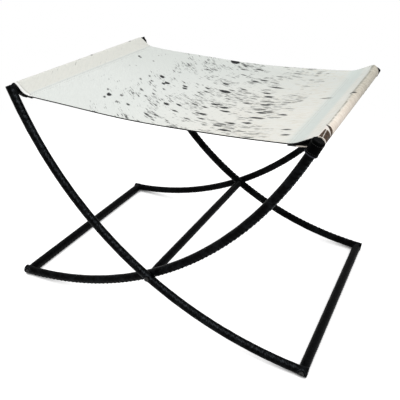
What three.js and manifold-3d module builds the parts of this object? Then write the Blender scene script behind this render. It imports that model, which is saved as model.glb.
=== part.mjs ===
// Folding X frame stool: two leather wrapped iron frames crossed on an axle, with a cowhide sling seat.
// Units are millimetres, +Z is up, +X runs across the seat from rail to rail, +Y runs from front to back.
// The origin is on the floor, midway between the feet.
import * as THREE from 'three';
import { mergeVertices } from 'three/addons/utils/BufferGeometryUtils.js';
import Module from 'manifold-3d';

const wasm = await Module();
wasm.setup();

// Overall form of the open stool
const seatRailX = 288; // half the distance between the two seat rails
const seatRailZ = 440; // height of the rail axes above the floor
const footX = 322; // half the distance between the two foot bars
const legArcRadius = 709; // every leg is one bow of this radius
const outerLegY = 245; // from the middle of the stool to the outer leg of each crossing
const clearance = 0.3; // gap kept between pieces that touch
const cutOverrun = 5; // how far a cutting tool runs past what it cuts

// Bars and their leather
const rodRadius = 7;
const leatherThickness = 1.2;
const wrapInnerRadius = rodRadius + clearance;
const wrapRadius = wrapInnerRadius + leatherThickness;
const footLeatherThickness = 2.2; // the foot bars wear a heavier leather than the legs
const footWrapRadius = wrapInnerRadius + footLeatherThickness;
const footFlatDepth = 0.3; // the foot leather is worn flat where it meets the floor
const footZ = footWrapRadius - footFlatDepth;
const legGap = 0.6; // running gap between the leather of the two legs of a crossing
const innerLegY = outerLegY - 2 * wrapRadius - legGap;
const legEndOverrun = 8; // how far a leg runs past its seat rail's axis

// Fasteners
const screwHeadRadius = 5.2;
const screwHeadHeight = 2.6;
const screwShankRadius = 2.7;
const screwSocketRadius = 2.4;
const screwSocketDepth = 1.7;
const screwGrip = 16; // thread length inside a foot bar or the axle
const washerRadius = 7.4;
const washerThickness = 2;
const spigotRadius = 3.4; // turned end of a seat rail, inside its leg
const spigotLength = 9;

// Leather caps over the tops of the aft frame's legs
const capThickness = 2.4;
const capLength = 30; // measured down the leg from its end
const capInnerRadius = wrapRadius + clearance;
const capRadius = capInnerRadius + capThickness;

// Sling
const hideThickness = 2.4;
const sleeveSlack = 0.5; // between a rail and the sleeve around it
const hideGap = 1; // between the hide's edge and the leg or cap beside it
const foldTaper = 100; // from the left rail's axis to where the sling is clear of the folding leg's path
const hemReach = 39; // from the rail's axis to the row of stitches
const hemSeam = 9; // width of the sewn overlap
const hemDrop = 11; // how far the hem hangs below the rails' axes
const seatSag = 21; // how far the middle hangs below the rails' axes
const scarfSetback = 4; // from the row of stitches to the split beside the right sleeve
const liningThickness = 1;
const liningSetback = 2; // from the sewn overlap to the lining's edge

// Facet counts
const barSides = 12;
const boreSides = 24;
const legSteps = 24;
const seatSteps = 16;
const loopSteps = 14;
const scarfSides = 96;

// Bow of a leg: one circle through the foot and rail axes
const chord = new THREE.Vector2(footX + seatRailX, seatRailZ - footZ);
const chordMid = new THREE.Vector2((footX - seatRailX) / 2, (seatRailZ + footZ) / 2);
const bowRise = Math.sqrt(legArcRadius ** 2 - chord.lengthSq() / 4);
const bowX = chordMid.x + (chord.y / chord.length()) * bowRise;
const bowZ = chordMid.y + (chord.x / chord.length()) * bowRise;
const pivotZ = bowZ - Math.sqrt(legArcRadius ** 2 - bowX ** 2);
const railAngle = Math.atan2(seatRailZ - bowZ, -seatRailX - bowX) + 2 * Math.PI;
const footAngle = Math.atan2(footZ - bowZ, footX - bowX) + 2 * Math.PI;

// The two frames are alike and stand one bar apart along Y. The fore frame has the outer leg of the front
// crossing and the inner leg of the back one. side is 1 where the foot is at +X and -1 where it is at -X.
const foreFrame = { name: 'fore', side: 1, frontLegY: outerLegY, backLegY: innerLegY };
const aftFrame = { name: 'aft', side: -1, frontLegY: innerLegY, backLegY: outerLegY };

// Distance of a frame's leg from the middle of the stool. end is -1 at the front and 1 at the back.
const legYAt = (frame, end) => (end < 0 ? frame.frontLegY : frame.backLegY);

// Each leg lies in a plane of constant y
class LegBow extends THREE.Curve {
  constructor(side, y, fromAngle, toAngle) {
    super();
    Object.assign(this, { side, y, fromAngle, toAngle });
  }

  getPoint(t, target = new THREE.Vector3()) {
    const angle = THREE.MathUtils.lerp(this.fromAngle, this.toAngle, t);
    const x = bowX + legArcRadius * Math.cos(angle);
    return target.set(this.side * x, this.y, bowZ + legArcRadius * Math.sin(angle));
  }
}

// Solids
function toSolid(geometry) {
  const plain = geometry.index ? geometry.toNonIndexed() : geometry.clone();
  plain.deleteAttribute('normal');
  plain.deleteAttribute('uv');
  const merged = mergeVertices(plain, clearance / 1000);
  return new wasm.Manifold(new wasm.Mesh({
    numProp: 3,
    vertProperties: new Float32Array(merged.attributes.position.array),
    triVerts: new Uint32Array(merged.index.array),
  }));
}

function toGeometry(solid) {
  const mesh = solid.getMesh();
  const geometry = new THREE.BufferGeometry();
  geometry.setAttribute('position', new THREE.BufferAttribute(mesh.vertProperties, 3));
  geometry.setIndex(new THREE.BufferAttribute(mesh.triVerts, 1));
  geometry.computeVertexNormals();
  return geometry;
}

function circleShape(radius, sides) {
  const points = [];
  for (let i = 0; i < sides; i += 1) {
    const angle = (2 * Math.PI * i) / sides;
    points.push(new THREE.Vector2(radius * Math.cos(angle), radius * Math.sin(angle)));
  }
  return new THREE.Shape(points);
}

function bowSolid(side, y, radius, topOverrun) {
  const path = new LegBow(side, y, railAngle - topOverrun / legArcRadius, footAngle);
  const section = circleShape(radius, barSides);
  const bar = new THREE.ExtrudeGeometry(section, { steps: legSteps, extrudePath: path, bevelEnabled: false });
  const toe = new THREE.SphereGeometry(radius, barSides, barSides / 2);
  toe.translate(side * footX, y, footZ);
  return toSolid(bar).add(toSolid(toe));
}

// A round bar or cutter along Y between two heights of y
function crossBar(radius, x, z, yFrom, yTo, sides = barSides) {
  const bar = new THREE.CylinderGeometry(radius, radius, Math.abs(yTo - yFrom), sides);
  bar.translate(x, (yFrom + yTo) / 2, z);
  return toSolid(bar);
}

function tubeAlongY(outerRadius, innerRadius, x, z, yFrom, yTo) {
  const past = Math.sign(yTo - yFrom) * cutOverrun;
  const bore = crossBar(innerRadius, x, z, yFrom - past, yTo + past);
  return crossBar(outerRadius, x, z, yFrom, yTo).subtract(bore);
}

// Materials
const iron = { color: 0x1c1c1e, roughness: 0.45, metalness: 0.8 };
const wrapLeather = { color: 0x141315, roughness: 0.55, metalness: 0 };
const cowhide = { color: 0xe6e6e0, roughness: 0.85, metalness: 0 };
const liningLeather = { color: 0x0f0e10, roughness: 0.7, metalness: 0 };

const stool = new THREE.Group();

function addPiece(name, solid, look) {
  const mesh = new THREE.Mesh(toGeometry(solid), new THREE.MeshStandardMaterial(look));
  mesh.name = name;
  stool.add(mesh);
}

// Screw with a socketed head, lying along Y with its head outwards. end is -1 at the front and 1 at the back.
function screw(x, z, end, seatY, tipY) {
  const head = crossBar(screwHeadRadius, x, z, end * seatY, end * (seatY + screwHeadHeight), boreSides);
  const shank = crossBar(screwShankRadius, x, z, end * tipY, end * (seatY + screwHeadHeight / 2));
  const socketFloor = seatY + screwHeadHeight - screwSocketDepth;
  const socketMouth = seatY + screwHeadHeight + cutOverrun;
  const socket = crossBar(screwSocketRadius, x, z, end * socketFloor, end * socketMouth);
  return head.add(shank).subtract(socket);
}

// A hole along Y, from the axis of a leg to past its outside
function headBore(x, z, end, legY) {
  return crossBar(screwHeadRadius + clearance, x, z, end * legY, end * (legY + wrapRadius + cutOverrun), boreSides);
}

function shankBore(x, z, end, fromY, toY) {
  return crossBar(screwShankRadius + clearance, x, z, end * fromY, end * toY);
}

// One leg: the bowed rod and its sewn leather
function addLeg(frameName, side, legY, end) {
  const endName = end < 0 ? 'front' : 'back';
  const y = end * legY;
  const footAt = side * footX;
  const railAt = -side * seatRailX;
  const insideY = legY - wrapRadius - cutOverrun;
  const outsideY = legY + wrapRadius + cutOverrun;
  const topCover = leatherThickness + clearance;

  const footHole = shankBore(footAt, footZ, end, insideY, outsideY);
  const pivotHole = shankBore(0, pivotZ, end, insideY, outsideY);
  const spigotHoleEnd = legY - rodRadius - clearance + spigotLength + clearance;
  const spigotHole = crossBar(spigotRadius + clearance, railAt, seatRailZ, end * insideY, end * spigotHoleEnd);
  const rod = bowSolid(side, y, rodRadius, legEndOverrun - topCover)
    .subtract(footHole)
    .subtract(pivotHole)
    .subtract(spigotHole);
  addPiece(`${frameName}_leg_${endName}`, rod, iron);

  const barHoleRadius = rodRadius + clearance;
  const footBarHole = crossBar(barHoleRadius, footAt, footZ, end * insideY, y, boreSides);
  const railHole = crossBar(barHoleRadius, railAt, seatRailZ, end * insideY, y, boreSides);
  const hollow = bowSolid(side, y, wrapInnerRadius, legEndOverrun - leatherThickness);
  let leather = bowSolid(side, y, wrapRadius, legEndOverrun)
    .subtract(hollow)
    .subtract(footBarHole)
    .subtract(railHole)
    .subtract(headBore(footAt, footZ, end, legY))
    .subtract(pivotHole);
  const washerY = outerLegY - wrapRadius - legGap / 2;
  const washerHalf = washerThickness / 2 + clearance;
  const washerPocket = crossBar(
    washerRadius + clearance,
    0,
    pivotZ,
    end * (washerY - washerHalf),
    end * (washerY + washerHalf),
    boreSides,
  );
  leather = leather.subtract(washerPocket);
  if (legY === outerLegY) {
    leather = leather.subtract(headBore(0, pivotZ, end, legY));
  } else {
    leather = leather.subtract(crossBar(barHoleRadius, 0, pivotZ, end * insideY, y, boreSides));
  }
  addPiece(`${frameName}_leg_wrap_${endName}`, leather, wrapLeather);
}

// Seat rail: a rod between the legs with a turned spigot inside each leg
function addSeatRail(frame) {
  const x = -frame.side * seatRailX;
  const frontShoulder = -(frame.frontLegY - rodRadius - clearance);
  const backShoulder = frame.backLegY - rodRadius - clearance;
  const spigots = [frontShoulder - spigotLength, backShoulder + spigotLength];
  const rail = crossBar(rodRadius, x, seatRailZ, frontShoulder, backShoulder, boreSides)
    .add(crossBar(spigotRadius, x, seatRailZ, ...spigots));
  addPiece(`${frame.name}_seat_rail`, rail, iron);
}

// Foot bar: a rod between the legs with a tapped hole at each end, its leather, and a screw through each leg
function addFootBar(frame) {
  const x = frame.side * footX;
  const shoulderInset = rodRadius + clearance;
  const leatherInset = wrapRadius / 2;
  const between = (inset) => [-(frame.frontLegY - inset), frame.backLegY - inset];
  let rod = crossBar(rodRadius, x, footZ, ...between(shoulderInset), boreSides);
  let leather = tubeAlongY(footWrapRadius, wrapInnerRadius, x, footZ, ...between(leatherInset));
  const floorCut = new THREE.BoxGeometry(4 * footWrapRadius, 3 * outerLegY, 2 * cutOverrun);
  floorCut.translate(x, 0, -cutOverrun);
  leather = leather.subtract(toSolid(floorCut));
  for (const end of [-1, 1]) {
    const legY = legYAt(frame, end);
    const tipY = legY - shoulderInset - screwGrip;
    rod = rod.subtract(shankBore(x, footZ, end, tipY - clearance, legY));
    leather = leather.subtract(bowSolid(frame.side, end * legY, wrapRadius + clearance, legEndOverrun));
    const piece = screw(x, footZ, end, legY + rodRadius + clearance, tipY);
    addPiece(`${frame.name}_foot_screw_${end < 0 ? 'front' : 'back'}`, piece, iron);
  }
  addPiece(`${frame.name}_foot_rod`, rod, iron);
  addPiece(`${frame.name}_foot_wrap`, largestPiece(leather), wrapLeather);
}

// A cut across a tube's end leaves slivers outside the leg, which fall away
function largestPiece(solid) {
  return solid.decompose().reduce((best, piece) => (piece.volume() > best.volume() ? piece : best));
}

// Leather cap over the top of a leg, with a round mouth for the seat rail
function addLegCap(frameName, side, legY, end) {
  const y = end * legY;
  const endAngle = railAngle - legEndOverrun / legArcRadius;
  const capTop = endAngle - (capThickness + clearance) / legArcRadius;
  const capFoot = endAngle + capLength / legArcRadius;
  const section = circleShape(capRadius, barSides);
  const path = new LegBow(side, y, capTop, capFoot);
  const shell = new THREE.ExtrudeGeometry(section, { steps: 2, extrudePath: path, bevelEnabled: false });
  const leg = bowSolid(side, y, capInnerRadius, legEndOverrun + clearance);
  const insideY = legY - capRadius - cutOverrun;
  const railMouth = crossBar(rodRadius + clearance, -side * seatRailX, seatRailZ, end * insideY, y, boreSides);
  const cap = toSolid(shell).subtract(leg).subtract(railMouth);
  addPiece(`${frameName}_leg_cap_${end < 0 ? 'front' : 'back'}`, cap, wrapLeather);
}

// Axle between the inner legs of the two crossings, and the shoulder screws that carry both frames
function addPivot() {
  const shoulderY = innerLegY - rodRadius - clearance;
  const tipY = shoulderY - screwGrip;
  let axle = crossBar(rodRadius, 0, pivotZ, -shoulderY, shoulderY, boreSides);
  const washerY = outerLegY - wrapRadius - legGap / 2;
  for (const end of [-1, 1]) {
    const endName = end < 0 ? 'front' : 'back';
    axle = axle.subtract(shankBore(0, pivotZ, end, tipY - clearance, shoulderY + cutOverrun));
    addPiece(`pivot_screw_${endName}`, screw(0, pivotZ, end, outerLegY + rodRadius + clearance, tipY), iron);
    const washerFrom = end * (washerY - washerThickness / 2);
    const washerTo = end * (washerY + washerThickness / 2);
    const washer = crossBar(washerRadius, 0, pivotZ, washerFrom, washerTo, boreSides)
      .subtract(shankBore(0, pivotZ, end, shoulderY, outerLegY));
    addPiece(`pivot_washer_${endName}`, washer, wrapLeather);
  }
  addPiece('pivot_axle', axle, iron);
  const wrapEnd = innerLegY - wrapRadius - clearance;
  addPiece('pivot_axle_wrap', tubeAlongY(wrapRadius, wrapInnerRadius, 0, pivotZ, -wrapEnd, wrapEnd), wrapLeather);
}

// Sling section, drawn in x and z and pushed out along y
const hemX = seatRailX - hemReach;
const seatTopZ = (x) => seatRailZ - hemDrop + (hemDrop - seatSag) * (1 - (x / hemX) ** 2) + hideThickness / 2;

// Where the two lines from a point touch a circle round a rail, as angles
function tangentAngles(point, centre, radius) {
  const toPoint = Math.atan2(point.y - centre.y, point.x - centre.x);
  const spread = Math.acos(radius / point.distanceTo(centre));
  return [toPoint + spread, toPoint - spread];
}

// Points round a rail from the upper tangent of one point to the lower tangent of another, the far way round.
// turn is 1 round the left rail and -1 round the right one.
function railLoop(centre, radius, upper, lower, turn) {
  const from = tangentAngles(upper, centre, radius)[turn > 0 ? 0 : 1];
  const to = tangentAngles(lower, centre, radius)[turn > 0 ? 1 : 0];
  const sweep = turn * THREE.MathUtils.euclideanModulo(turn * (to - from), 2 * Math.PI);
  const points = [];
  for (let i = 0; i <= loopSteps; i += 1) {
    const angle = from + (sweep * i) / loopSteps;
    points.push(new THREE.Vector2(centre.x + radius * Math.cos(angle), centre.y + radius * Math.sin(angle)));
  }
  return points;
}

function seatLine(fromX, toX, drop) {
  const points = [];
  for (let i = 0; i <= seatSteps; i += 1) {
    const x = THREE.MathUtils.lerp(fromX, toX, i / seatSteps);
    points.push(new THREE.Vector2(x, seatTopZ(x) - drop));
  }
  return points;
}

// The sling's edges run slightly askew, because each rail reaches one bar further at one end
const hideEdgeY = (x, end) => {
  const left = legYAt(foreFrame, end) - wrapRadius - hideGap;
  const right = legYAt(aftFrame, end) - capRadius - hideGap;
  return end * THREE.MathUtils.mapLinear(x, -seatRailX, seatRailX, left, right);
};

// Where the sling's front edge draws in beside the left rail, clear of the path of the aft frame's folding leg
function foldRoom() {
  const besideRail = legYAt(foreFrame, -1) - wrapRadius - hideGap;
  const besidePath = legYAt(aftFrame, -1) - wrapRadius - hideGap;
  const drawnInX = foldTaper - seatRailX;
  const farX = -seatRailX - foldTaper;
  const farY = THREE.MathUtils.mapLinear(farX, drawnInX, -seatRailX, besidePath, besideRail);
  const plan = new THREE.Shape([
    new THREE.Vector2(drawnInX, -besidePath),
    new THREE.Vector2(farX, -farY),
    new THREE.Vector2(farX, -2 * outerLegY),
    new THREE.Vector2(footX, -2 * outerLegY),
    new THREE.Vector2(footX, -besidePath),
  ]);
  return toSolid(new THREE.ExtrudeGeometry(plan, { depth: 2 * seatRailZ, bevelEnabled: false }));
}

function sheetAlongY(shape) {
  const sheet = new THREE.ExtrudeGeometry(shape, { steps: 1, depth: outerLegY, bevelEnabled: false });
  sheet.rotateX(Math.PI / 2);
  const askew = toSolid(sheet).warp((point) => {
    const [x, y] = point;
    point[1] = hideEdgeY(x, y < -outerLegY / 2 ? -1 : 1);
  });
  return askew.subtract(foldRoom());
}

function slingSolid() {
  const innerRadius = rodRadius + sleeveSlack;
  const outerRadius = innerRadius + hideThickness;
  const loopSide = (turn) => {
    const centre = new THREE.Vector2(-turn * seatRailX, seatRailZ);
    const top = new THREE.Vector2(-turn * hemX, seatTopZ(hemX));
    const bottom = new THREE.Vector2(-turn * hemX, seatTopZ(hemX) - 2 * hideThickness);
    const apex = new THREE.Vector2(-turn * hemX, seatTopZ(hemX) - hideThickness);
    return {
      outside: railLoop(centre, outerRadius, top, bottom, turn),
      bottom,
      hole: [apex, ...railLoop(centre, innerRadius, apex, apex, turn)],
    };
  };
  const left = loopSide(1);
  const right = loopSide(-1);
  const seamX = hemX - hemSeam;
  const seamEnd = (turn) => new THREE.Vector2(-turn * seamX, seatTopZ(seamX) - 2 * hideThickness);
  const outline = [
    ...seatLine(hemX, -hemX, 0),
    ...left.outside,
    left.bottom,
    seamEnd(1),
    ...seatLine(-seamX, seamX, hideThickness),
    seamEnd(-1),
    right.bottom,
    ...right.outside.reverse(),
  ];
  const shape = new THREE.Shape(outline);
  shape.holes.push(new THREE.Path(left.hole), new THREE.Path(right.hole));
  return sheetAlongY(shape);
}

// The sling is split beside its right sleeve along a circle round the pivot, so the sleeve folds clear
function addSling() {
  const sling = slingSolid();
  const scarfRadius = Math.hypot(hemX, seatTopZ(hemX) - pivotZ) + scarfSetback;
  const within = (radius) => crossBar(radius, 0, pivotZ, -outerLegY, outerLegY, scarfSides);
  const half = new THREE.BoxGeometry(2 * footX, 2 * outerLegY, 2 * seatRailZ);
  half.translate(-footX, 0, seatRailZ);
  const leftHalf = toSolid(half);
  const seat = sling.intersect(within(scarfRadius - clearance / 2).add(leftHalf));
  const sleeve = sling.subtract(within(scarfRadius + clearance / 2)).subtract(leftHalf);
  addPiece('seat_hide', seat, cowhide);
  addPiece('seat_sleeve_right', sleeve, cowhide);

  const liningX = hemX - hemSeam - liningSetback;
  const liningTop = hideThickness + clearance;
  const outline = [
    ...seatLine(liningX, -liningX, liningTop),
    ...seatLine(-liningX, liningX, liningTop + liningThickness),
  ];
  addPiece('seat_lining', sheetAlongY(new THREE.Shape(outline)), liningLeather);
}

function addFrame(frame) {
  for (const end of [-1, 1]) {
    addLeg(frame.name, frame.side, legYAt(frame, end), end);
  }
  addSeatRail(frame);
  addFootBar(frame);
}

addFrame(foreFrame);
addFrame(aftFrame);
for (const end of [-1, 1]) {
  addLegCap(aftFrame.name, aftFrame.side, legYAt(aftFrame, end), end);
}
addPivot();
addSling();

export default stool;
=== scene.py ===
import math

import bmesh
import bpy
import numpy as np
from mathutils import Matrix, Vector


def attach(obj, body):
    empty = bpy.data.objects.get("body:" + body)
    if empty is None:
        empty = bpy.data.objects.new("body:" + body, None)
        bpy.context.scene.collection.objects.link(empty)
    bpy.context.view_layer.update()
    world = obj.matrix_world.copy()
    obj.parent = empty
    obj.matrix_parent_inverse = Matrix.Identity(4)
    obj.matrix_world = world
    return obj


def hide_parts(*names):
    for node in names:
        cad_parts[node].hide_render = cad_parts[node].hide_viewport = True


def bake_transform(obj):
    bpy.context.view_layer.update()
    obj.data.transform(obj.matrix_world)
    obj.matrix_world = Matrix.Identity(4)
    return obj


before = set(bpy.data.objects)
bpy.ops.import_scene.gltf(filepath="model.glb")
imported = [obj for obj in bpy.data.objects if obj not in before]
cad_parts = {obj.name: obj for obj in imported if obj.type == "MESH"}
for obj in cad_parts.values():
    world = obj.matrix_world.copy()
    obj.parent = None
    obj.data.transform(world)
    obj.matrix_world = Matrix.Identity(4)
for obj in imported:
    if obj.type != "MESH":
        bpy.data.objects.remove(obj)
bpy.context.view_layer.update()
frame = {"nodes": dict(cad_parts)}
nodes = frame["nodes"]
scene = bpy.context.scene

# Sizes in millimetres, the same as in the frame's source
MM = 0.001
FRONT, BACK = -1, 1
END_NAME = {FRONT: "front", BACK: "back"}
SEAT_RAIL_X, SEAT_RAIL_Z = 288.0, 440.0
FOOT_X, FOOT_Z = 322.0, 9.2
BOW_RADIUS = 709.0
OUTER_LEG_Y, INNER_LEG_Y = 245.0, 227.4
LEG_Y = {("fore", FRONT): OUTER_LEG_Y, ("fore", BACK): INNER_LEG_Y,
         ("aft", FRONT): INNER_LEG_Y, ("aft", BACK): OUTER_LEG_Y}
SIDE = {"fore": 1, "aft": -1}
PIVOT_Z = 108.897
ROD_RADIUS = 7.0
COVER_RADIUS = 8.5
FOOT_COVER_RADIUS = 9.5
LEG_OVERRUN = 8.0
FOOT_BAR_INSET = 4.0
AXLE_REACH = INNER_LEG_Y - 8.8
CAP_RADIUS = 11.2
CAP_SIZE = {FRONT: (CAP_RADIUS, 25.5), BACK: (10.2, 15.0)}  # outer radius and length of the aft legs' caps
RIM_BACK = 1.7  # from a cap's lower end to the middle of its rolled rim
SCREW_RADIUS, SCREW_HEAD = 5.2, 2.6  # of a screw's head: its radius and its height
SCREW_SEAT, SCREW_REACH = 7.3, 23.0  # from the leg's axis out to the head's seat, and in to the screw's tip
HIDE_THICKNESS = 2.4
HIDE_GAP = 1.0
HEM_SEAM, HEM_DROP, SEAT_SAG = 9.0, 11.0, 21.0
SLEEVE_RADIUS = ROD_RADIUS + 0.5 + HIDE_THICKNESS / 2
FULL_TURN = 2 * math.pi

# Where the sling bends from each sleeve into the seat, left and right: the left sleeve is drawn in tighter
HEM_X = {-1: 260.0, 1: 249.0}

# The bow of a leg is one circle through its foot and its seat rail
chord = Vector((FOOT_X + SEAT_RAIL_X, SEAT_RAIL_Z - FOOT_Z))
bow_rise = math.sqrt(BOW_RADIUS ** 2 - chord.length_squared / 4)
BOW_X = (FOOT_X - SEAT_RAIL_X) / 2 + chord.y / chord.length * bow_rise
BOW_Z = (SEAT_RAIL_Z + FOOT_Z) / 2 + chord.x / chord.length * bow_rise
TOP_ANGLE = math.atan2(SEAT_RAIL_Z - BOW_Z, -SEAT_RAIL_X - BOW_X) + FULL_TURN - LEG_OVERRUN / BOW_RADIUS
FOOT_ANGLE = math.atan2(FOOT_Z - BOW_Z, FOOT_X - BOW_X) + FULL_TURN
PIVOT_ANGLE = math.atan2(PIVOT_Z - BOW_Z, -BOW_X) + FULL_TURN
LEG_LENGTH = (FOOT_ANGLE - TOP_ANGLE) * BOW_RADIUS
PIVOT_S = (PIVOT_ANGLE - TOP_ANGLE) * BOW_RADIUS


# Node helpers
class Value:
    """A node's output, to reckon with."""

    def __init__(self, nodes, socket):
        self.nodes, self.socket = nodes, socket

    def __add__(self, other):
        return self.nodes.math("ADD", self, other)

    def __sub__(self, other):
        return self.nodes.math("SUBTRACT", self, other)

    def __mul__(self, other):
        return self.nodes.math("MULTIPLY", self, other)

    def __truediv__(self, other):
        return self.nodes.math("DIVIDE", self, other)

    def __abs__(self):
        return self.nodes.math("ABSOLUTE", self)


class Nodes:
    """Short calls that add nodes to a tree."""

    def __init__(self, tree):
        self.tree = tree

    def put(self, value, socket):
        """Links a value to an input, or writes it there. A colour is written as red, green and blue."""
        if isinstance(value, Value):
            self.tree.links.new(value.socket, socket)
        elif value is not None:
            socket.default_value = (*value, 1.0) if socket.type == "RGBA" else value

    def add(self, kind, inputs=(), outputs=(0,), **settings):
        made = self.tree.nodes.new(kind)
        for key, value in settings.items():
            setattr(made, key, value)
        for key, value in dict(inputs).items():
            self.put(value, made.inputs[key])
        values = [Value(self, made.outputs[key]) for key in outputs]
        return values if len(values) > 1 else values[0]

    def math(self, operation, a, b=None):
        return self.add("ShaderNodeMath", {0: a, 1: b}, operation=operation)

    def ramp(self, value, low, high, to_low=0.0, to_high=1.0):
        """value remapped smoothly from low..high to to_low..to_high."""
        inputs = {"Value": value, "From Min": low, "From Max": high, "To Min": to_low, "To Max": to_high}
        return self.add("ShaderNodeMapRange", inputs, interpolation_type="SMOOTHSTEP")

    def seen(self):
        """1 for what the camera sees, also in a reflection or through glass, and 0 for light on the stool."""
        rays = ("Is Camera Ray", "Is Glossy Ray", "Is Transmission Ray")
        camera_ray, glossy_ray, glass_ray = self.add("ShaderNodeLightPath", outputs=rays)
        return self.math("MAXIMUM", self.math("MAXIMUM", camera_ray, glossy_ray), glass_ray)


class Shade(Nodes):
    """A material and the nodes that make it."""

    def __init__(self, name, **surface):
        self.material = bpy.data.materials.new(name)
        self.material.use_nodes = True
        super().__init__(self.material.node_tree)
        self.surface = self.tree.nodes["Principled BSDF"]
        self.set(**surface)

    def set(self, **sockets):
        for socket, value in sockets.items():
            self.put(value, self.surface.inputs[socket.replace("_", " ")])
        return self.material

    def attribute(self, name, output="Fac"):
        return self.add("ShaderNodeAttribute", outputs=(output,), attribute_name=name)

    def place(self):
        """Where a point lies on its piece laid out straight, in millimetres."""
        return self.attribute("straight", "Vector")

    def stretch(self, vector, scale):
        return self.add("ShaderNodeVectorMath", {0: vector, 1: scale}, operation="MULTIPLY")

    def split(self, vector):
        return self.add("ShaderNodeSeparateXYZ", {0: vector}, (0, 1, 2))

    def join(self, *values):
        return self.add("ShaderNodeCombineXYZ", dict(enumerate(values)))

    def noise(self, place, scale, detail=3.0, roughness=0.5):
        """Noise at a place, which is a vector or its three values."""
        if isinstance(place, tuple):
            place = self.join(*place)
        inputs = {"Vector": place, "Scale": scale, "Detail": detail, "Roughness": roughness}
        return self.add("ShaderNodeTexNoise", inputs)

    def cells(self, vector, scale):
        return self.add("ShaderNodeTexVoronoi", {"Vector": vector, "Scale": scale}, ("Distance",))

    def strokes(self, x, y, share, ragged):
        """Scattered uneven ovals one unit apart, and their tones. share is how many cells have one."""
        distance, shade = self.add("ShaderNodeTexVoronoi", {"Vector": self.join(x, y, 0.0), "Scale": 1.0},
                                   ("Distance", "Color"), voronoi_dimensions="2D")
        pick, tone, _ = self.split(shade)
        inside = self.ramp(pick, 1.0 - share, 1.1, 0.02, 0.5) - distance + ragged
        return self.ramp(inside, -0.04, 0.2), tone

    def mix(self, share, a, b):
        return self.add("ShaderNodeMix", {0: share, 6: a, 7: b}, (2,), data_type="RGBA", clamp_factor=True)

    def cover(self, colour, *layers):
        """A colour with layers over it, each of them a share and a colour."""
        for share, layer in layers:
            colour = self.mix(share, colour, layer)
        return colour

    def bump(self, height, depth, below=None):
        """A bump of the given depth in millimetres, laid over the bump below it."""
        return self.add("ShaderNodeBump", {"Height": height, "Distance": depth * MM, "Normal": below})


def grey(level, warmth=0.0):
    return (level * (1 + warmth), level, level * (1 - warmth))


def make_leather(name, dark, light, gloss, bands, shine, pale_rim=None):
    """Black leather: pebbled grain, creases of the depth bands, paler worn patches and a painted highlight on
    raised tops. pale_rim is where along the piece a rim is made pale, worn and with a painted highlight.
    raised holds the height over the plain bar."""
    s = Shade(name, Specular_IOR_Level=shine)
    place = s.place()
    grain = s.cells(place, 1.15)
    pores = s.noise(place, 3.2, 2.0)
    creases = s.noise(s.stretch(place, (1.0, 0.22, 0.22)), 0.36, 3.0, 0.6)
    dashes = s.noise(s.stretch(place, (0.6, 1.0, 1.0)), 0.32, 3.0, 0.6)
    cloud = s.noise(place, 0.06)
    wear = s.ramp(cloud, 0.42, 0.68) * s.ramp(grain, 0.75, 0.2, 0.0, 0.4)
    # Painted highlight: raised seams, lace tops and screw lips made paler in broken dashes
    painted_top_highlight = s.ramp(s.attribute("raised"), 0.1, 0.65) * s.ramp(dashes, 0.4, 0.62, 0.12, 1.0)
    colour = s.mix(s.math("MAXIMUM", wear, painted_top_highlight), grey(dark, -0.15), grey(light, -0.12))
    # Pale bluish rim along the cap's rolled rim: wear and a painted highlight
    if pale_rim:
        off_rim = abs(s.split(place)[0] - pale_rim)
        rubbed_and_sheen = s.ramp(off_rim, 1.4, 0.6) * s.ramp(pores, 0.38, 0.6, 0.25, 1.0)
        colour = s.mix(rubbed_and_sheen, colour, (0.062, 0.062, 0.078))
    rough = s.ramp(cloud, 0.3, 0.7, gloss, gloss + 0.14) + s.ramp(pores, 0.35, 0.7, -0.04, 0.06)
    normal = s.bump(pores, 0.04, s.bump(grain, 0.14, s.bump(creases, bands)))
    return s.set(Base_Color=colour, Roughness=rough, Normal=normal)


def make_iron(name, level, rough_low, rough_high, metal):
    """Black painted iron: faint brush marks and small worn places."""
    s = Shade(name, Metallic=metal, Specular_IOR_Level=0.25)
    place = s.stretch(s.add("ShaderNodeTexCoord", outputs=("Object",)), (1 / MM,) * 3)
    cloud = s.noise(place, 0.12, 4.0)
    pits = s.noise(place, 1.6)
    rubbed_and_sheen = s.ramp(cloud, 0.5, 0.72) * s.ramp(pits, 0.4, 0.62)
    colour = s.mix(rubbed_and_sheen, grey(level), grey(level * 2.6, 0.04))
    rough = s.ramp(cloud + pits * 0.4, 0.4, 1.0, rough_low, rough_high)
    return s.set(Base_Color=colour, Roughness=rough, Normal=s.bump(pits, 0.06))


def make_thread(name, level):
    """Twisted sewing thread."""
    s = Shade(name, Specular_IOR_Level=0.3)
    twist = s.noise(s.stretch(s.place(), (0.6, 2.4, 2.4)), 1.1, 2.0)
    colour = s.mix(twist, grey(level * 0.75, 0.03), grey(level, 0.03))
    return s.set(Base_Color=colour, Roughness=s.ramp(twist, 0.3, 0.7, 0.6, 0.8), Normal=s.bump(twist, 0.12))


def make_lining(name):
    """Black lining: matt, with fine napped grain and soft creases."""
    s = Shade(name, Specular_IOR_Level=0.2)
    place = s.place()
    nap = s.noise(place, 1.8, 4.0, 0.6)
    folds = s.noise(s.stretch(place, (0.4, 1.0, 1.0)), 0.035)
    colour = s.mix(nap * 0.5 + folds * 0.5, grey(0.004), grey(0.02, 0.03))
    normal = s.bump(nap, 0.12, s.bump(folds, 0.5))
    return s.set(Base_Color=colour, Roughness=s.ramp(nap, 0.3, 0.7, 0.62, 0.82), Normal=normal)


# The hide's small flecks, in layers: length, width, shift, how many cells have one, least and most darkness
STROKES = ((12.0, 2.8, 0.37, 0.55, 0.2, 0.6),
           (22.0, 5.0, 0.0, 0.5, 0.5, 1.0),
           (33.0, 8.0, 0.61, 0.2, 0.9, 1.0))


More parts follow.
